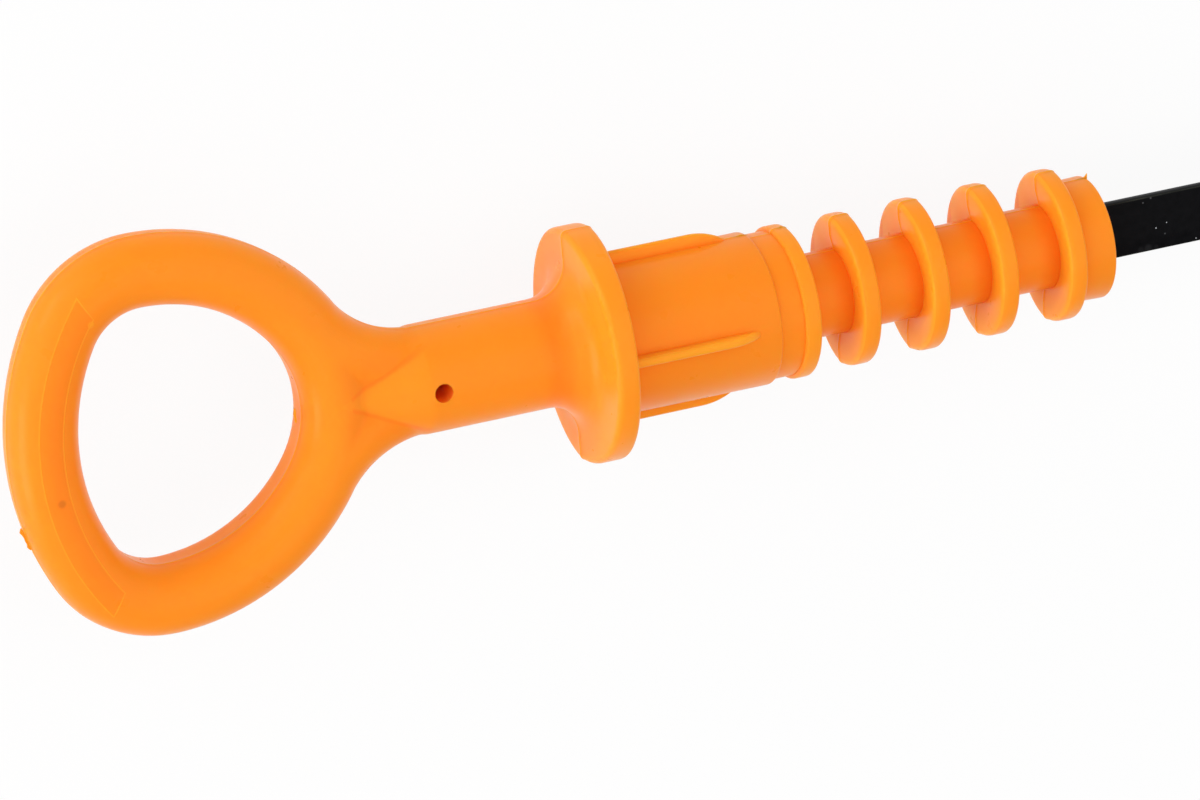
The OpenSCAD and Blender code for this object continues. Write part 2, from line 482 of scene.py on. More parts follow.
def draw_out(place, x, radius):
    """Extrudes the selected ring to a new place and size, and returns that place."""
    from_x, from_radius = place
    bpy.ops.mesh.extrude_region_move(TRANSFORM_OT_translate={"value": (x - from_x, 0, 0)})
    growth = radius / from_radius
    bpy.ops.transform.resize(value=(1, growth, growth), center_override=(x, 0, 0))
    return x, radius


def draw_arc(place, cx, cr, radius, start, end, steps):
    """Draws the ring out along an arc about (cx, cr), between two angles in degrees."""
    for k in range(1, steps + 1):
        turn = math.radians(start + (end - start) * k / steps)
        place = draw_out(place, cx + radius * math.cos(turn), cr + radius * math.sin(turn))
    return place


def draw_disc(place, x0, x1, radius, rounding, foot_r):
    """Draws a disc with rounded rims out of the stick, and ends at the foot of what follows."""
    near, far = rounding
    place = draw_out(place, x0, place[1])
    for k in range(1, FACE_STEPS + 1):
        place = draw_out(place, x0, place[1] + (radius - near - place[1]) * k / FACE_STEPS)
    place = draw_arc(place, x0 + near, radius - near, near, 180, 90, 5)
    place = draw_out(place, x1 - far, radius)
    place = draw_arc(place, x1 - far, radius - far, far, 90, 0, 4)
    rim = place[1]
    for k in range(1, FACE_STEPS + 1):
        place = draw_out(place, x1, rim + (foot_r - rim) * k / FACE_STEPS)
    return place


def draw_shoulder(place, x, foot_r):
    """Draws the plug's surface out to a rounded edge, and then down to the next part."""
    place = draw_out(place, x - PLUG_EDGE, PLUG_R)
    place = draw_arc(place, x - PLUG_EDGE, PLUG_R - PLUG_EDGE, PLUG_EDGE, 90, 0, 4)
    return draw_out(place, x, foot_r)


def make_stem():
    """The stem's grip end, with the nose that dives into the web."""
    start_x = JOIN_X + STEM_LAP
    stem = start_ring("stem", start_x, STEM_R, ROUND_STEPS)
    place = draw_out((start_x, STEM_R), NOSE_X, STEM_R)
    tip_x, tip_r = NOSE_TIP
    for k in range(1, NOSE_STEPS + 1):
        part = k / NOSE_STEPS
        place = draw_out(place, NOSE_X + part * (tip_x - NOSE_X),
                         STEM_R - part ** NOSE_POWER * (STEM_R - tip_r))
    # the last ring is merged to a point
    draw_out(place, tip_x - NOSE_CLOSE, 0.2 * MM)
    bpy.ops.mesh.merge(type="CENTER")
    object_mode()
    close_rims(stem)
    mend(stem)
    return stem


def make_grip(arcs):
    """Loop, roots, web and stem, melted into one skin and smoothed where they meet."""
    grip = join(make_loop(arcs), make_root(arcs, 1), make_root(arcs, -1), make_web(arcs), make_stem())
    grip.name = "grip"
    apply_modifier(grip, "REMESH", mode="VOXEL", voxel_size=GRIP_GRAIN, use_smooth_shade=True)
    apply_modifier(grip, "SMOOTH", factor=0.5, iterations=2)
    raise_parting(grip, *GRIP_RIDGE)
    return grip


def raise_parting(obj, reach, height):
    """Raises the thin ridge that the two mould halves leave where they meet."""
    normals = [point.normal.copy() for point in obj.data.vertices]
    for point, normal in zip(obj.data.vertices, normals):
        point.co += normal * height * max(0, 1 - abs(point.co.z) / reach)


def make_shank():
    """The turned part: stem, flare, flange, plug with its groove, fins and collar."""
    start_x = JOIN_X - SHANK_LAP
    shank = start_ring("shank", start_x, STEM_R, TURN_STEPS)
    flare_x = -FLANGE_T - FLARE_R
    place = (start_x, STEM_R)
    for k in range(1, FACE_STEPS + 1):
        place = draw_out(place, start_x + (flare_x - start_x) * k / FACE_STEPS, STEM_R)
    place = draw_arc(place, flare_x, STEM_R + FLARE_R, FLARE_R, 270, 360, 12)
    place = draw_disc(place, -FLANGE_T, 0, FLANGE_R, FLANGE_ROUND, PLUG_R)
    # plug, groove and ring
    place = draw_shoulder(place, PLUG_LEN, GROOVE_R)
    place = draw_out(place, RING_X, GROOVE_R)
    place = draw_out(place, RING_X, PLUG_R - PLUG_EDGE)
    place = draw_arc(place, RING_X + PLUG_EDGE, PLUG_R - PLUG_EDGE, PLUG_EDGE, 180, 90, 4)
    place = draw_shoulder(place, RING_END, CORE_R)
    # the fins, of which the last runs into the collar
    for x in FIN_PLACES:
        foot_r = COLLAR_R if x == FIN_PLACES[-1] else CORE_R
        place = draw_disc(place, x, x + FIN_T, FIN_R, FIN_ROUND, foot_r)
    round_x, round_r = COLLAR_END - COLLAR_ROUND, COLLAR_R - COLLAR_ROUND
    place = draw_out(place, round_x, COLLAR_R)
    draw_arc(place, round_x, round_r, COLLAR_ROUND, 90, 0, 5)
    object_mode()
    close_rims(shank)
    mend(shank)
    lean_disc(shank, -FLANGE_T, 0, FLANGE_FOOT, FLANGE_R, FLANGE_LEAN, 0)
    for x in FIN_PLACES:
        lean_disc(shank, x, x + FIN_T, FIN_FOOT, FIN_R, FIN_LEAN, FIN_SWELL)
    raise_parting(shank, *SHANK_RIDGE)
    return shank


def lean_disc(obj, x0, x1, foot_r, rim_r, leans, swell):
    """Gives a disc the shape of two mould halves: its faces lean in away from the parting plane,
    and its rim is two arcs that meet there at a slight corner."""
    corner = math.asin(RIM_SHIFT / rim_r)
    for point in obj.data.vertices:
        co = point.co
        radius = math.hypot(co.y, co.z)
        if not (x0 - DISC_MARGIN < co.x < x1 + SLACK and radius > foot_r):
            continue
        part = min(1, (radius - foot_r) / LEAN_RAMP)
        lean = part * abs(co.z) * leans[0 if co.z > 0 else 1]
        if co.x < (x0 + x1) / 2:
            co.x += lean - part * swell
        elif radius > PLUG_R or x0 > 0:
            co.x -= lean
        turn = math.atan2(abs(co.z), abs(co.y))
        turn = corner + turn * (1 - corner / (math.pi / 2))
        shift = RIM_SHIFT * radius / rim_r
        co.y = math.copysign(radius * math.cos(turn), co.y)
        co.z = math.copysign(max(0, radius * math.sin(turn) - shift), co.z)


def make_rib():
    """One rib along the top of the plug, with its far end run out on an arc."""
    crest = PLUG_R + RIB_H
    fade_r = (RIB_FADE ** 2 + RIB_H ** 2) / (2 * RIB_H)
    foot = crest - fade_r
    rib = block("rib", (-FLANGE_T / 2, -RIB_T / 2, foot), (RIB_LEN, RIB_T / 2, crest))
    unpick(rib)
    for face in rib.data.polygons:
        face.select = face.normal.x > 0.9
    edit_mode("FACE")
    bpy.ops.mesh.spin(steps=14, angle=-math.asin(RIB_FADE / fade_r) - RIB_DIVE,
                      center=(RIB_LEN, 0, foot), axis=(0, 1, 0))
    object_mode()
    mend(rib)

    def along_crest(a, b):
        reach = min(math.hypot(max(0, co.x - RIB_LEN), co.z - foot) for co in (a, b))
        return reach > 0.99 * fade_r and abs(a.y - b.y) < 0.1 * RIB_T

    # the crest's two long edges are rounded over
    pick_edges(rib, along_crest)
    bpy.ops.mesh.bevel(offset=RIB_EDGE, segments=4)
    object_mode()
    mend(rib)
    return rib


def make_handle(arcs):
    """The whole moulding in one mesh, with the blade's slot and the pin's hole cut through."""
    shank = make_shank()
    rib = make_rib()
    for k in range(RIB_COUNT):
        only(rib)
        bpy.ops.object.duplicate()
        turned_rib = bpy.context.active_object
        bpy.ops.transform.rotate(value=-k * 2 * math.pi / RIB_COUNT, orient_axis="X",
                                 center_override=(0, 0, 0))
        apply_place(turned_rib)
        cut(shank, turned_rib, "UNION")
    bpy.data.objects.remove(rib)
    grip = make_grip(arcs)
    cut_across(grip, JOIN_X - JOIN_GAP, keep_low=True)
    cut_across(shank, JOIN_X, keep_low=False)
    handle = join(shank, grip)
    handle.name = handle.data.name = "moulded_handle"
    pick_rims(handle)
    bpy.ops.mesh.bridge_edge_loops()
    object_mode()
    mend(handle)
    cut(handle, upright_rod("pin", PIN_HOLE_X, 0, PIN_HOLE_R, 2 * STEM_R, HOLE_STEPS))
    slot_low = [place - TANG_GAP for place in BLADE_LOW]
    slot_high = (COLLAR_END + CLEAR, BLADE_HIGH[1] + TANG_GAP, BLADE_HIGH[2] + TANG_GAP)
    cut(handle, block("slot", slot_low, slot_high))
    join(handle, *all_flash())
    only(handle)
    bpy.ops.object.shade_smooth_by_angle(angle=SMOOTH_ANGLE)
    crease_parting(handle)
    return handle


def make_flash(start, end, out, heights):
    """A ragged strip of flash on the parting plane, between two places on the part's outline."""
    start, end, out = (Vector((*place, 0)) for place in (start, end, out))
    length = (end - start).length
    steps = len(heights) - 1
    bpy.ops.object.select_all(action="DESELECT")
    bpy.ops.mesh.primitive_grid_add(x_subdivisions=steps, y_subdivisions=1, size=1)
    flash = named("flash")
    bpy.ops.transform.resize(value=(length, FLASH_FOOT, 1))
    apply_place(flash)
    for k, height in enumerate(heights):
        at = -length / 2 + length * k / steps
        pick_points(flash, lambda co: abs(co.x - at) < 0.3 * length / steps and co.y > 0)
        bpy.ops.transform.translate(value=(0, height - FLASH_FOOT / 2, 0))
        object_mode()
    pick_all(flash)
    bpy.ops.mesh.extrude_region_move(TRANSFORM_OT_translate={"value": (0, 0, FLASH_T)})
    object_mode()
    mend(flash)
    along = (end - start).normalized()
    across = (out - out.dot(along) * along).normalized()
    turn = Matrix((along, across, along.cross(across))).transposed()
    flash.matrix_world = Matrix.Translation((start + end) / 2) @ turn.to_4x4()
    apply_place(flash)
    pick_points(flash, lambda co: True)
    bpy.ops.transform.translate(value=(0, 0, -FLASH_T / 2))
    object_mode()
    mend(flash)
    return flash


def ragged(count, height, turn):
    """Heights of a torn edge, which falls to nothing at its two ends."""
    return [height * math.sin(math.pi * k / (count - 1)) ** 0.5
            * (0.62 + 0.38 * math.sin(2.1 * k + turn) * math.cos(0.83 * k + 2 * turn))
            for k in range(count)]


def all_flash():
    """Makes every strip of flash, from its start, its end, the way it points, and its heights."""
    rim_y = FIN_R - RIM_SHIFT
    core_x = FIN_PLACES[1] + FIN_T
    upwards = (0, 1)
    backwards = (-1, 0)
    # one on each fin's rim
    strips = [((x + 0.3 * MM, rim_y), (x + FIN_T, rim_y - 0.03 * MM), upwards,
               ragged(9, 0.17 * MM, 1.3 * k)) for k, x in enumerate(FIN_PLACES)]
    # the ring, the plug's end, the core behind the second fin, and the collar's curled end
    strips += [
        ((RING_X + 0.7 * MM, PLUG_R), (RING_END, PLUG_R - 0.1 * MM), upwards, ragged(6, 0.16 * MM, 0.4)),
        ((PLUG_LEN - 1.3 * MM, PLUG_R), (PLUG_LEN - 0.1 * MM, PLUG_R), upwards,
         ragged(6, 0.14 * MM, 2.2)),
        ((core_x, CORE_R), (core_x + 1.6 * MM, CORE_R), upwards, ragged(8, 0.22 * MM, 0.9)),
        ((COLLAR_END - 1 * MM, COLLAR_R), (COLLAR_END + 0.02 * MM, COLLAR_R - 0.06 * MM), upwards,
         [0, 0.06 * MM, 0.05 * MM, 0.08 * MM, 0.2 * MM, 0.45 * MM]),
    ]
    # the loop's end, and two places of the opening's wall
    strips += [
        ((-52.35 * MM, -5.7 * MM), (-51.72 * MM, -7.7 * MM), (-0.95, -0.3),
         [0, 0.2 * MM, 0.1 * MM, 0.05 * MM, 0.08 * MM, 0.05 * MM, 0.14 * MM, 0]),
        ((-27.75 * MM, -0.3 * MM), (-27.75 * MM, -1.6 * MM), backwards, ragged(6, 0.1 * MM, 0.7)),
        ((-28.3 * MM, 5.2 * MM), (-28.0 * MM, 3.8 * MM), backwards, ragged(6, 0.12 * MM, 1.9)),
    ]
    return [make_flash(*strip) for strip in strips]


def crease_parting(handle):
    """Sharpens the disc faces along the parting plane, where the two mould halves meet."""
    faces = [(-FLANGE_T - SLACK, -FLANGE_T / 2, FLANGE_FOOT + 2 * SLACK)]
    for x in FIN_PLACES:
        middle = x + FIN_T / 2
        faces.append((x - DISC_MARGIN, middle, FIN_FOOT + SLACK))
        faces.append((middle, x + FIN_T + SLACK, FIN_FOOT + SLACK))

    def on_a_face(a, b):
        if max(abs(a.z), abs(b.z)) > ON_PLANE:
            return False
        near, far = min(a.x, b.x), max(a.x, b.x)
        radius = min(abs(a.y), abs(b.y))
        return any(low < near and far < high and radius > foot for low, high, foot in faces)

    pick_edges(handle, on_a_face)
    bpy.ops.mesh.mark_sharp()
    object_mode()


def cut_across(obj, x, keep_low):
    """Cuts an object square to the stick and drops the part on one side, with the rim left open."""
    pick_all(obj)
    bpy.ops.mesh.bisect(plane_co=(x, 0, 0), plane_no=(1, 0, 0), clear_outer=keep_low,
                        clear_inner=not keep_low)
    object_mode()


def make_blade():
    """The flat strip, with its rounded tip, the level marks and the pin's hole."""
    blade = block("level_blade", BLADE_LOW, BLADE_HIGH)
    half_w = BLADE_HIGH[1]
    # the tip's two upright edges are rounded nearly to a half circle, then level edges are broken
    pick_edges(blade, lambda a, b: min(a.x, b.x) > 0 and abs(a.z - b.z) > 0.1 * MM)
    bpy.ops.mesh.bevel(offset=0.999 * half_w, segments=16)
    object_mode()
    mend(blade)
    pick_edges(blade, lambda a, b: abs(a.z - b.z) < 0.01 * MM)
    bpy.ops.mesh.bevel(offset=BLADE_EDGE, segments=3)
    object_mode()
    full_x = BLADE_HIGH[0] - LOW_MARK - MARK_SPAN
    grooves = [(full_x, MARK_W, MARK_DEPTH), (full_x + MARK_SPAN, MARK_W, MARK_DEPTH)]
    for k in range(1, HATCH_COUNT + 1):
        grooves.append((full_x + MARK_SPAN * k / (HATCH_COUNT + 1), HATCH_W, MARK_DEPTH / 2))
    for x, width, depth in grooves:
        cut(blade, block("groove", (x - width / 2, -2 * half_w, -depth),
                         (x + width / 2, 2 * half_w, CLEAR)))
    cut(blade, upright_rod("pin", PIN_HOLE_X, 0, PIN_HOLE_R, 2 * STEM_R, HOLE_STEPS))
    only(blade)
    bpy.ops.object.shade_smooth_by_angle(angle=SMOOTH_ANGLE)
    return blade


arcs = loop_centres()
handle = make_handle(arcs)
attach(handle, "root")
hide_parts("handle")
blade = make_blade()
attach(blade, "root")
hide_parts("blade")


# Node helpers

def fill(tree, socket, value):
    """Gives a socket a plain value, or links another node's output to it."""
    if isinstance(value, bpy.types.NodeSocket):
        tree.links.new(value, socket)
    else:
        socket.default_value = value


def put(tree, kind, *inputs, **settings):
    """Adds a node and fills its first inputs with values or with other nodes' outputs."""
    made = tree.nodes.new(kind)
    for key, value in settings.items():
        setattr(made, key, value)
    for socket, value in zip(made.inputs, inputs):
        fill(tree, socket, value)
    return made


def maths(tree, operation, *inputs):
    return put(tree, "ShaderNodeMath", *inputs, operation=operation).outputs[0]


def carried(tree, operation, values):
    """Carries one operation through several values."""
    result = values[0]
    for value in values[1:]:
        result = maths(tree, operation, result, value)
    return result


def total(tree, *values):
    return carried(tree, "ADD", values)


def times(tree, *values):
    return carried(tree, "MULTIPLY", values)


def most(tree, *values):
    return carried(tree, "MAXIMUM", values)


def minus(tree, value, less):
    return maths(tree, "SUBTRACT", value, less)


def amount(tree, value):
    return maths(tree, "ABSOLUTE", value)


def beyond(tree, value, limit):
    """One where a value is over the limit, and zero elsewhere."""
    return maths(tree, "GREATER_THAN", value, limit)


def before(tree, value, limit):
    """One where a value is under the limit, and zero elsewhere."""
    return maths(tree, "LESS_THAN", value, limit)


def length(tree, a, b):
    """The length of the long side over two sides that are square to each other."""
    return maths(tree, "SQRT", total(tree, times(tree, a, a), times(tree, b, b)))


def ramp(tree, value, start, end, low, high, kind="SMOOTHSTEP"):
    """Goes from low to high while a value goes from start to end."""
    return put(tree, "ShaderNodeMapRange", value, start, end, low, high,
               interpolation_type=kind).outputs[0]


def fall(tree, value, near, far):
    """One up to the near value, and zero from the far value on."""
    return ramp(tree, value, near, far, 1.0, 0.0)


def tint(tree, factor, under, over):
    """Lays one colour over another, as far as the factor says."""
    made = put(tree, "ShaderNodeMix", data_type="RGBA")
    for index, value in ((0, factor), (6, under), (7, over)):
        fill(tree, made.inputs[index], value)
    return made.outputs[2]


def band(tree, x, low, high, value, start, full, strength):
    """Rises with a value from start to full, but only between two places along the stick."""
    between = times(tree, beyond(tree, x, low), before(tree, x, high))
    return times(tree, between, ramp(tree, value, start, full, 0.0, strength))


def grain(tree, where, scale, detail=2.0, stretch=None):
    """Noise of about one over the scale in size, from zero to one."""
    if stretch:
        where = put(tree, "ShaderNodeVectorMath", where, stretch, operation="MULTIPLY").outputs[0]
    made = put(tree, "ShaderNodeTexNoise")
    fill(tree, made.inputs["Vector"], where)
    made.inputs["Scale"].default_value = scale
    made.inputs["Detail"].default_value = detail
    return made.outputs["Fac"]


def spot(tree, where, middle, radius, edge=0.5):
    """A soft round spot about a place on the part."""
    away = put(tree, "ShaderNodeVectorMath", where, middle, operation="DISTANCE").outputs["Value"]
    return fall(tree, away, radius * (1 - edge), radius * (1 + edge))


def specks(tree, where, places):
    """Single specks, each with its own size and strength."""
    return most(tree, *[times(tree, spot(tree, where, place, size), strength)
                        for place, size, strength in places])


def relief(tree, shader, height):
    """Gives the surface a relief, by its height in metres."""
    bump = put(tree, "ShaderNodeBump")
    bump.inputs["Strength"].default_value = 1.0
    bump.inputs["Distance"].default_value = 1.0
    fill(tree, bump.inputs["Height"], height)
    fill(tree, shader.inputs["Normal"], bump.outputs["Normal"])


def new_material(name):
    material = bpy.data.materials.new(name)
    material.use_nodes = True
    tree = material.node_tree
    where = tree.nodes.new("ShaderNodeTexCoord").outputs["Object"]
    return material, tree, tree.nodes["Principled BSDF"], where


def pad_marks(tree, x, side, z):
    """The pad that an insert of the mould left along the crest of the loop's end, painted redder, partly
    its own tone and partly painted shade, and its raised outline, painted lighter as painted highlight.
    """
    end_x = arcs["end"][0]
    crest_r = end_x - LOOP_END - BAR_R
    back = minus(tree, end_x, x)
    outwards = minus(tree, length(tree, back, side), crest_r)
    along = times(tree, maths(tree, "ARCTAN2", side, back), crest_r)
    pad_end = maths(tree, "MULTIPLY_ADD", outwards, PAD_SLANT, PAD_TURN * crest_r)
    # how far a point lies inside the pad's outline, less than zero outside
    inside = maths(tree, "MINIMUM", minus(tree, PAD_HALF, amount(tree, outwards)),
                   minus(tree, pad_end, along))
    on_loop = times(tree, beyond(tree, z, 0.0), before(tree, x, end_x))
    pad = times(tree, ramp(tree, inside, -0.1 * MM, 0.12 * MM, 0.0, 1.0), on_loop)
    line = times(tree, fall(tree, amount(tree, inside), 0.01 * MM, 0.12 * MM), on_loop)
    return pad, line


def hole_wall(tree, x, y, z):
    """The pin hole's wall, painted red as painted light, for the light that comes through the plastic.
    """
    flat = put(tree, "ShaderNodeCombineXYZ", x, y, 0.0).outputs[0]
    return times(tree, spot(tree, flat, (PIN_HOLE_X, 0, 0), PIN_HOLE_R + 0.03 * MM, 0.04),
                 fall(tree, z, 4.45 * MM, 4.8 * MM))


def web_painted_shade(tree, x, side, z):
    """Painted shade on the web beside the stem's pointed nose: it is painted redder, most of all in the
    crease at the nose.
    """
    spear = maths(tree, "MULTIPLY_ADD", minus(tree, x, SPEAR_TIP[0]), -SPEAR_SPREAD, side)
    spear = minus(tree, spear, SPEAR_TIP[1])
    # painted shade: reddest in the crease at the nose, and redder over the web beside it
    crease = times(tree, fall(tree, amount(tree, spear), 0.03 * MM, 0.4 * MM), TINT["crease"],
                   beyond(tree, x, SPEAR_TIP[0] - 0.3 * MM))
    web = times(tree, beyond(tree, spear, 0.0), fall(tree, side, 2.6 * MM, 5.4 * MM), TINT["web"])
    on_web = times(tree, beyond(tree, z, 0.5 * MM),
                   fall(tree, amount(tree, minus(tree, x, WEB_X)), 2.4 * MM, 4.6 * MM))
    return times(tree, most(tree, crease, web), on_web)


def painted_light_places(tree, x, off_axis, step, behind_ring):
    """Painted light: rims, ribs and fins are painted lighter, for light that comes through the thin
    plastic and falls on them.
    """
    # each fin's face towards the loop gets the most painted light
    near_face = times(tree, beyond(tree, step, 1 - 1.5 * FIN_SWELL / FIN_PITCH),
                      beyond(tree, off_axis, CORE_R + 0.05 * MM))
    return most(tree,
                band(tree, x, -FLANGE_T - 0.6 * MM, 0.05 * MM, off_axis,
                     6.5 * MM, 9.6 * MM, TINT["flange"]),
                band(tree, x, 0.1 * MM, RIB_LEN + RIB_FADE, off_axis,
                     PLUG_R + 0.05 * MM, PLUG_R + 0.5 * MM, TINT["ribs"]),
                band(tree, x, RING_X, RING_END, off_axis, 5.8 * MM, PLUG_R, TINT["ring"]),
                band(tree, x, FIN_FIRST - 1 * MM, COLLAR_END + 1 * MM, off_axis,
                     CORE_R + 0.8 * MM, FIN_R, TINT["fins"]),
                times(tree, near_face, behind_ring, TINT["fin_face"]))


def painted_shade_places(tree, x, off_axis, step, behind_ring):
    """Painted shade: the plug, the hollows in front of each fin and at the flare's foot, and the loop's
    end are painted redder.
    """
    # painted shade: the plug and all within its radius, a little redder
    plug = band(tree, x, 0.05 * MM, COLLAR_END, times(tree, off_axis, -1.0),
                -PLUG_R - 0.15 * MM, -PLUG_R + 0.05 * MM, TINT["plug"])
    # painted shade: the core is painted reddest in the corner in front of each fin
    corner = times(tree, ramp(tree, step, 0.55, 0.98, 0.0, TINT["corner"]),
                   fall(tree, off_axis, CORE_R + 0.2 * MM, CORE_R + 1.2 * MM), behind_ring)
    # painted shade in the hollow at the flare's foot
    off_flare = amount(tree, total(tree, x, FLANGE_T + 0.8 * FLARE_R))
    flare = times(tree, fall(tree, off_flare, 0.4 * MM, 2.2 * MM),
                  fall(tree, off_axis, 5 * MM, 7.4 * MM), TINT["flare"])
    # painted shade: the loop's end painted redder
    loop_end = times(tree, fall(tree, x, LOOP_END + 3 * MM, LOOP_END + LOOP_WIDE), TINT["loop_end"])
    return most(tree, plug, corner, flare, loop_end)


def moulded_orange():
    """Glossy orange plastic that light enters a little, with the marks that the mould left, painted
    shade in its hollows and painted light on its thin places.
    """
    material, tree, shader, where = new_material("moulded_orange")
    x, y, z = put(tree, "ShaderNodeSeparateXYZ", where).outputs
    side = amount(tree, y)
    off_axis = length(tree, y, z)
    behind_ring = beyond(tree, x, RING_END)
    # how far a place lies from one fin's face to the next, as a part of their pitch
    step = maths(tree, "FRACT", maths(tree, "DIVIDE", minus(tree, x, FIN_FIRST), FIN_PITCH))
    # painted shade in hollows and creases, and over the plug, the web and the loop's end
    painted_shade = most(tree, painted_shade_places(tree, x, off_axis, step, behind_ring), web_painted_shade(tree, x, side, z))
    # painted light on rims, ribs and fins
    painted_light = painted_light_places(tree, x, off_axis, step, behind_ring)
    # painted light on the pin hole's wall
    hole = hole_wall(tree, x, y, z)
    pad, pad_line = pad_marks(tree, x, side, z)
    # painted highlight on the pad's outline and the glint at its corner
    pad_line = maths(tree, "MINIMUM", total(tree, pad_line, specks(tree, where, PAD_CORNER_GLINT)), 1.0)
    # the parting line runs round the whole part at half its height: its pale line is painted highlight
    # on the ridge, and the redder line beside it, on one side, is painted shade
    parting = fall(tree, amount(tree, z), 0.04 * MM, 0.2 * MM)
    beside = fall(tree, amount(tree, minus(tree, z, 0.33 * MM)), 0.03 * MM, 0.18 * MM)
    # colour: the slow flow of the melt, then each mark over it, painted shade and painted light among
    # them
    colour = tint(tree, grain(tree, where, 140, 3, (0.5, 1, 1)), ORANGE_DEEP, ORANGE_CLEAR)
    for strength, over in ((painted_shade, ORANGE_RED),
                           (hole, HOLE_RED),
                           (painted_light, ORANGE_PALE),
                           (times(tree, pad, TINT["pad"]), ORANGE_RED),
                           (times(tree, pad_line, TINT["pad_line"]), ORANGE_PALE),
                           (times(tree, parting, TINT["parting"]), ORANGE_PALE),
                           (times(tree, beside, TINT["beside_parting"]), ORANGE_RED),
                           (specks(tree, where, PLASTIC_SPECKS), DIRT)):
        colour = tint(tree, strength, colour, over)
    fill(tree, shader.inputs["Base Color"], colour)
    # gloss: a little uneven, and duller in patches
    fill(tree, shader.inputs["Roughness"],
         ramp(tree, grain(tree, where, 420, 3), 0.3, 0.7, 0.27, 0.36, "LINEAR"))
    # surface: faint sink marks, fine skin, the parting line, and the pad's step
    relief(tree, shader, total(tree,
                               times(tree, grain(tree, where, 170, 1), SINK_H),
                               times(tree, grain(tree, where, 2600, 2), SKIN_H),
                               times(tree, parting, PARTING_H),
                               times(tree, pad, PAD_H),
                               times(tree, pad_line, PAD_LINE_H)))
    shader.inputs["IOR"].default_value = 1.46
    shader.inputs["Specular IOR Level"].default_value = 0.2
    shader.inputs["Specular Tint"].default_value = (1.0, 0.85, 0.5, 1)
    fill(tree, shader.inputs["Subsurface Weight"], maths(tree, "MULTIPLY_ADD", hole, 0.6, 0.4))
    shader.inputs["Subsurface Radius"].default_value = (1.0, 0.18, 0.04)
    shader.inputs["Subsurface Scale"].default_value = 2.4 * MM
    return material


def black_steel():
    """Smooth black coating on the strip, with specks of dust and a painted highlight along its edges."""
    material, tree, shader, where = new_material("black_steel")
    _, y, z = put(tree, "ShaderNodeSeparateXYZ", where).outputs
    # painted highlight: the face's long edges are painted lighter, more in some places than in others
    edge = ramp(tree, amount(tree, y), BLADE_HIGH[1] - 0.16 * MM, BLADE_HIGH[1] - 0.02 * MM, 0.0, 1.0)
    sheen_patches = ramp(tree, grain(tree, where, 900, 3, (0.25, 1, 1)), 0.38, 0.62, 0.25, 1.0, "LINEAR")
    on_face = fall(tree, amount(tree, z), 0.02 * MM, 0.12 * MM)
    # dust: the larger grains one by one, and finer ones strewn along the strip
    strewn = put(tree, "ShaderNodeTexVoronoi")
    fill(tree, strewn.inputs["Vector"], where)
    strewn.inputs["Scale"].default_value = 420
    strewn.inputs["Randomness"].default_value = 1.0
    fine = fall(tree, strewn.outputs["Distance"], 0.015, 0.045)
    thin_out = ramp(tree, grain(tree, where, 240, 1), 0.52, 0.6, 0.0, 0.5, "LINEAR")
    dust = most(tree, specks(tree, where, STEEL_SPECKS), times(tree, fine, thin_out))
    # colour: a faint mottle, then the painted highlight on the edges, and the dust
    coat = tint(tree, grain(tree, where, 1300, 3), COAT_DARK, COAT_CLEAR)
    coat = tint(tree, times(tree, edge, sheen_patches, on_face), coat, COAT_EDGE_SHEEN)
    coat = tint(tree, dust, coat, DUST)
    fill(tree, shader.inputs["Base Color"], coat)
    rough = ramp(tree, grain(tree, where, 700, 3, (0.3, 1, 1)), 0.3, 0.7, 0.10, 0.2, "LINEAR")
    fill(tree, shader.inputs["Roughness"], most(tree, rough, times(tree, dust, 0.8)))
    relief(tree, shader, total(tree,
                               times(tree, grain(tree, where, 1100, 2), 0.002 * MM),
                               times(tree, dust, 0.01 * MM)))
    shader.inputs["IOR"].default_value = 1.45
    shader.inputs["Specular IOR Level"].default_value = 0.02
    return material


def pale_floor():
    """Matt white, which the lens and gloss see as plain white but for a trace of shadow."""
    material = bpy.data.materials.new("pale_floor")
    material.use_nodes = True
    tree = material.node_tree
    tree.nodes.clear()
    matt = put(tree, "ShaderNodeBsdfDiffuse", (FLOOR_MATT, FLOOR_MATT, FLOOR_MATT, 1))
    white = put(tree, "ShaderNodeEmission", (1, 1, 1, 1), 1.0)
    ray = put(tree, "ShaderNodeLightPath")
    seen = most(tree, ray.outputs["Is Camera Ray"], ray.outputs["Is Glossy Ray"],
                ray.outputs["Is Transmission Ray"])
    mixed = put(tree, "ShaderNodeMixShader", times(tree, seen, FLOOR_WHITE),
                matt.outputs[0], white.outputs[0])
    out = put(tree, "ShaderNodeOutputMaterial")
    tree.links.new(mixed.outputs[0], out.inputs["Surface"])
    return material


def studio_floor():
    """A pale floor under the stick, which lies on its flange and its tip."""
    flange_foot = Vector((-FLANGE_T / 2, 0, min(corner[2] for corner in handle.bound_box)))
    tip_foot = Vector((BLADE_HIGH[0] - BLADE_HIGH[1] / 2, 0, BLADE_LOW[2]))
    slope = (tip_foot.z - flange_foot.z) / (tip_foot.x - flange_foot.x)
    bpy.ops.object.select_all(action="DESELECT")
    bpy.ops.mesh.primitive_plane_add(size=FLOOR_SIZE, location=flange_foot - Vector((0, 0, FLOOR_GAP)),
                                     rotation=(0, -math.atan(slope), 0))
    floor = named("studio_floor")
    apply_place(floor)
    finish_in(floor, pale_floor())


def finish_in(obj, material):
    obj.data.materials.clear()
    obj.data.materials.append(material)


studio_floor()
finish_in(handle, moulded_orange())
finish_in(blade, black_steel())


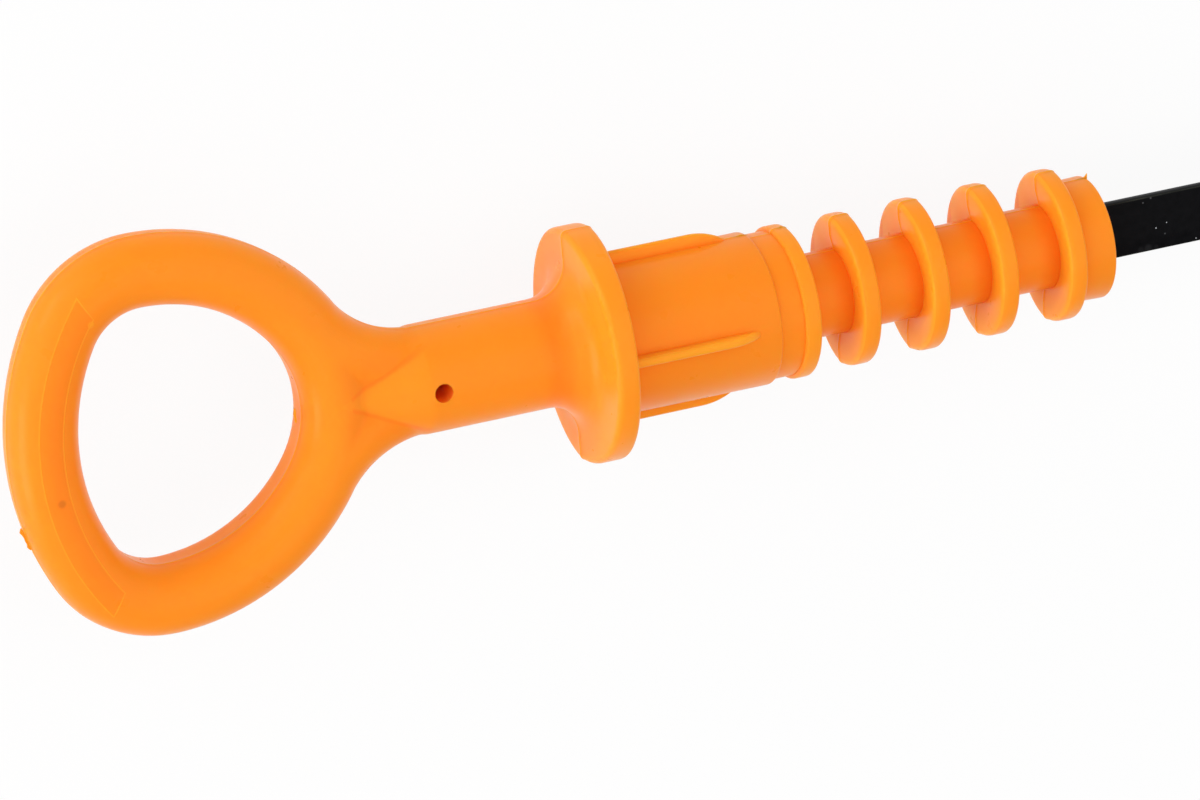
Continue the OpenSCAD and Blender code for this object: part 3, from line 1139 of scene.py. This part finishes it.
def soft_box(name, place, size, power):
    """A square soft box that faces the middle of the seating face."""
    light = bpy.data.lights.new(name, "AREA")
    light.shape = "RECTANGLE"
    light.size = light.size_y = size
    light.energy = power
    holder = bpy.data.objects.new(name, light)
    scene.collection.objects.link(holder)
    holder.location = place
    holder.rotation_euler = (-place).to_track_quat("-Z", "Y").to_euler()


def photo_camera():
    """The photograph's view of the stick, with the same place in it for the seating face."""
    cos_d, sin_d = math.cos(VIEW_DIVE), math.sin(VIEW_DIVE)
    cos_r, sin_r = math.cos(VIEW_ROLL), math.sin(VIEW_ROLL)
    cos_t, sin_t = math.cos(VIEW_TURN), math.sin(VIEW_TURN)
    # right, down and forward in the part's own axes, before the stick's rise
    right = Vector((cos_d, sin_d * sin_r, sin_d * cos_r))
    down = Vector((0, -cos_r, sin_r))
    forward = Vector((sin_d, -cos_d * sin_r, -cos_d * cos_r))
    right, down = cos_t * right + sin_t * down, cos_t * down - sin_t * right
    eye = -VIEW_DISTANCE * forward
    # the lens is then aimed so that the seating face falls on its pixel
    focal_pixels = PIXELS_PER_MM * VIEW_DISTANCE / MM
    off_x = (PHOTO_SIZE[0] / 2 - SEAT_PIXEL[0]) / focal_pixels
    off_y = (PHOTO_SIZE[1] / 2 - SEAT_PIXEL[1]) / focal_pixels
    aim = (forward + off_x * right + off_y * down).normalized()
    right = (right - right.dot(aim) * aim).normalized()
    up = right.cross(aim).normalized()
    camera = bpy.data.cameras.new("photo_camera")
    camera.sensor_width = SENSOR
    camera.lens = focal_pixels * SENSOR / PHOTO_SIZE[0]
    camera.clip_start = 10 * MM
    camera.clip_end = 20.0
    holder = bpy.data.objects.new("photo_camera", camera)
    scene.collection.objects.link(holder)
    turn = Matrix((right, up, -aim)).transposed()
    holder.matrix_world = Matrix.Translation(eye) @ turn.to_4x4()
    scene.camera = holder


photo_camera()
scene.view_settings.view_transform = "Standard"

# The soft box at the upper left gives the faces their shape, and the others fill
lens_turn = scene.camera.matrix_world.to_3x3()
for name, side, size, power in SOFT_BOXES:
    soft_box(name, BOX_DISTANCE * (lens_turn @ Vector(side)).normalized(), size, power)

world = bpy.data.worlds.new("studio")
scene.world = world
world.use_nodes = True
surround = world.node_tree.nodes["Background"]
surround.inputs["Color"].default_value = (1, 1, 1, 1)
surround.inputs["Strength"].default_value = SURROUND
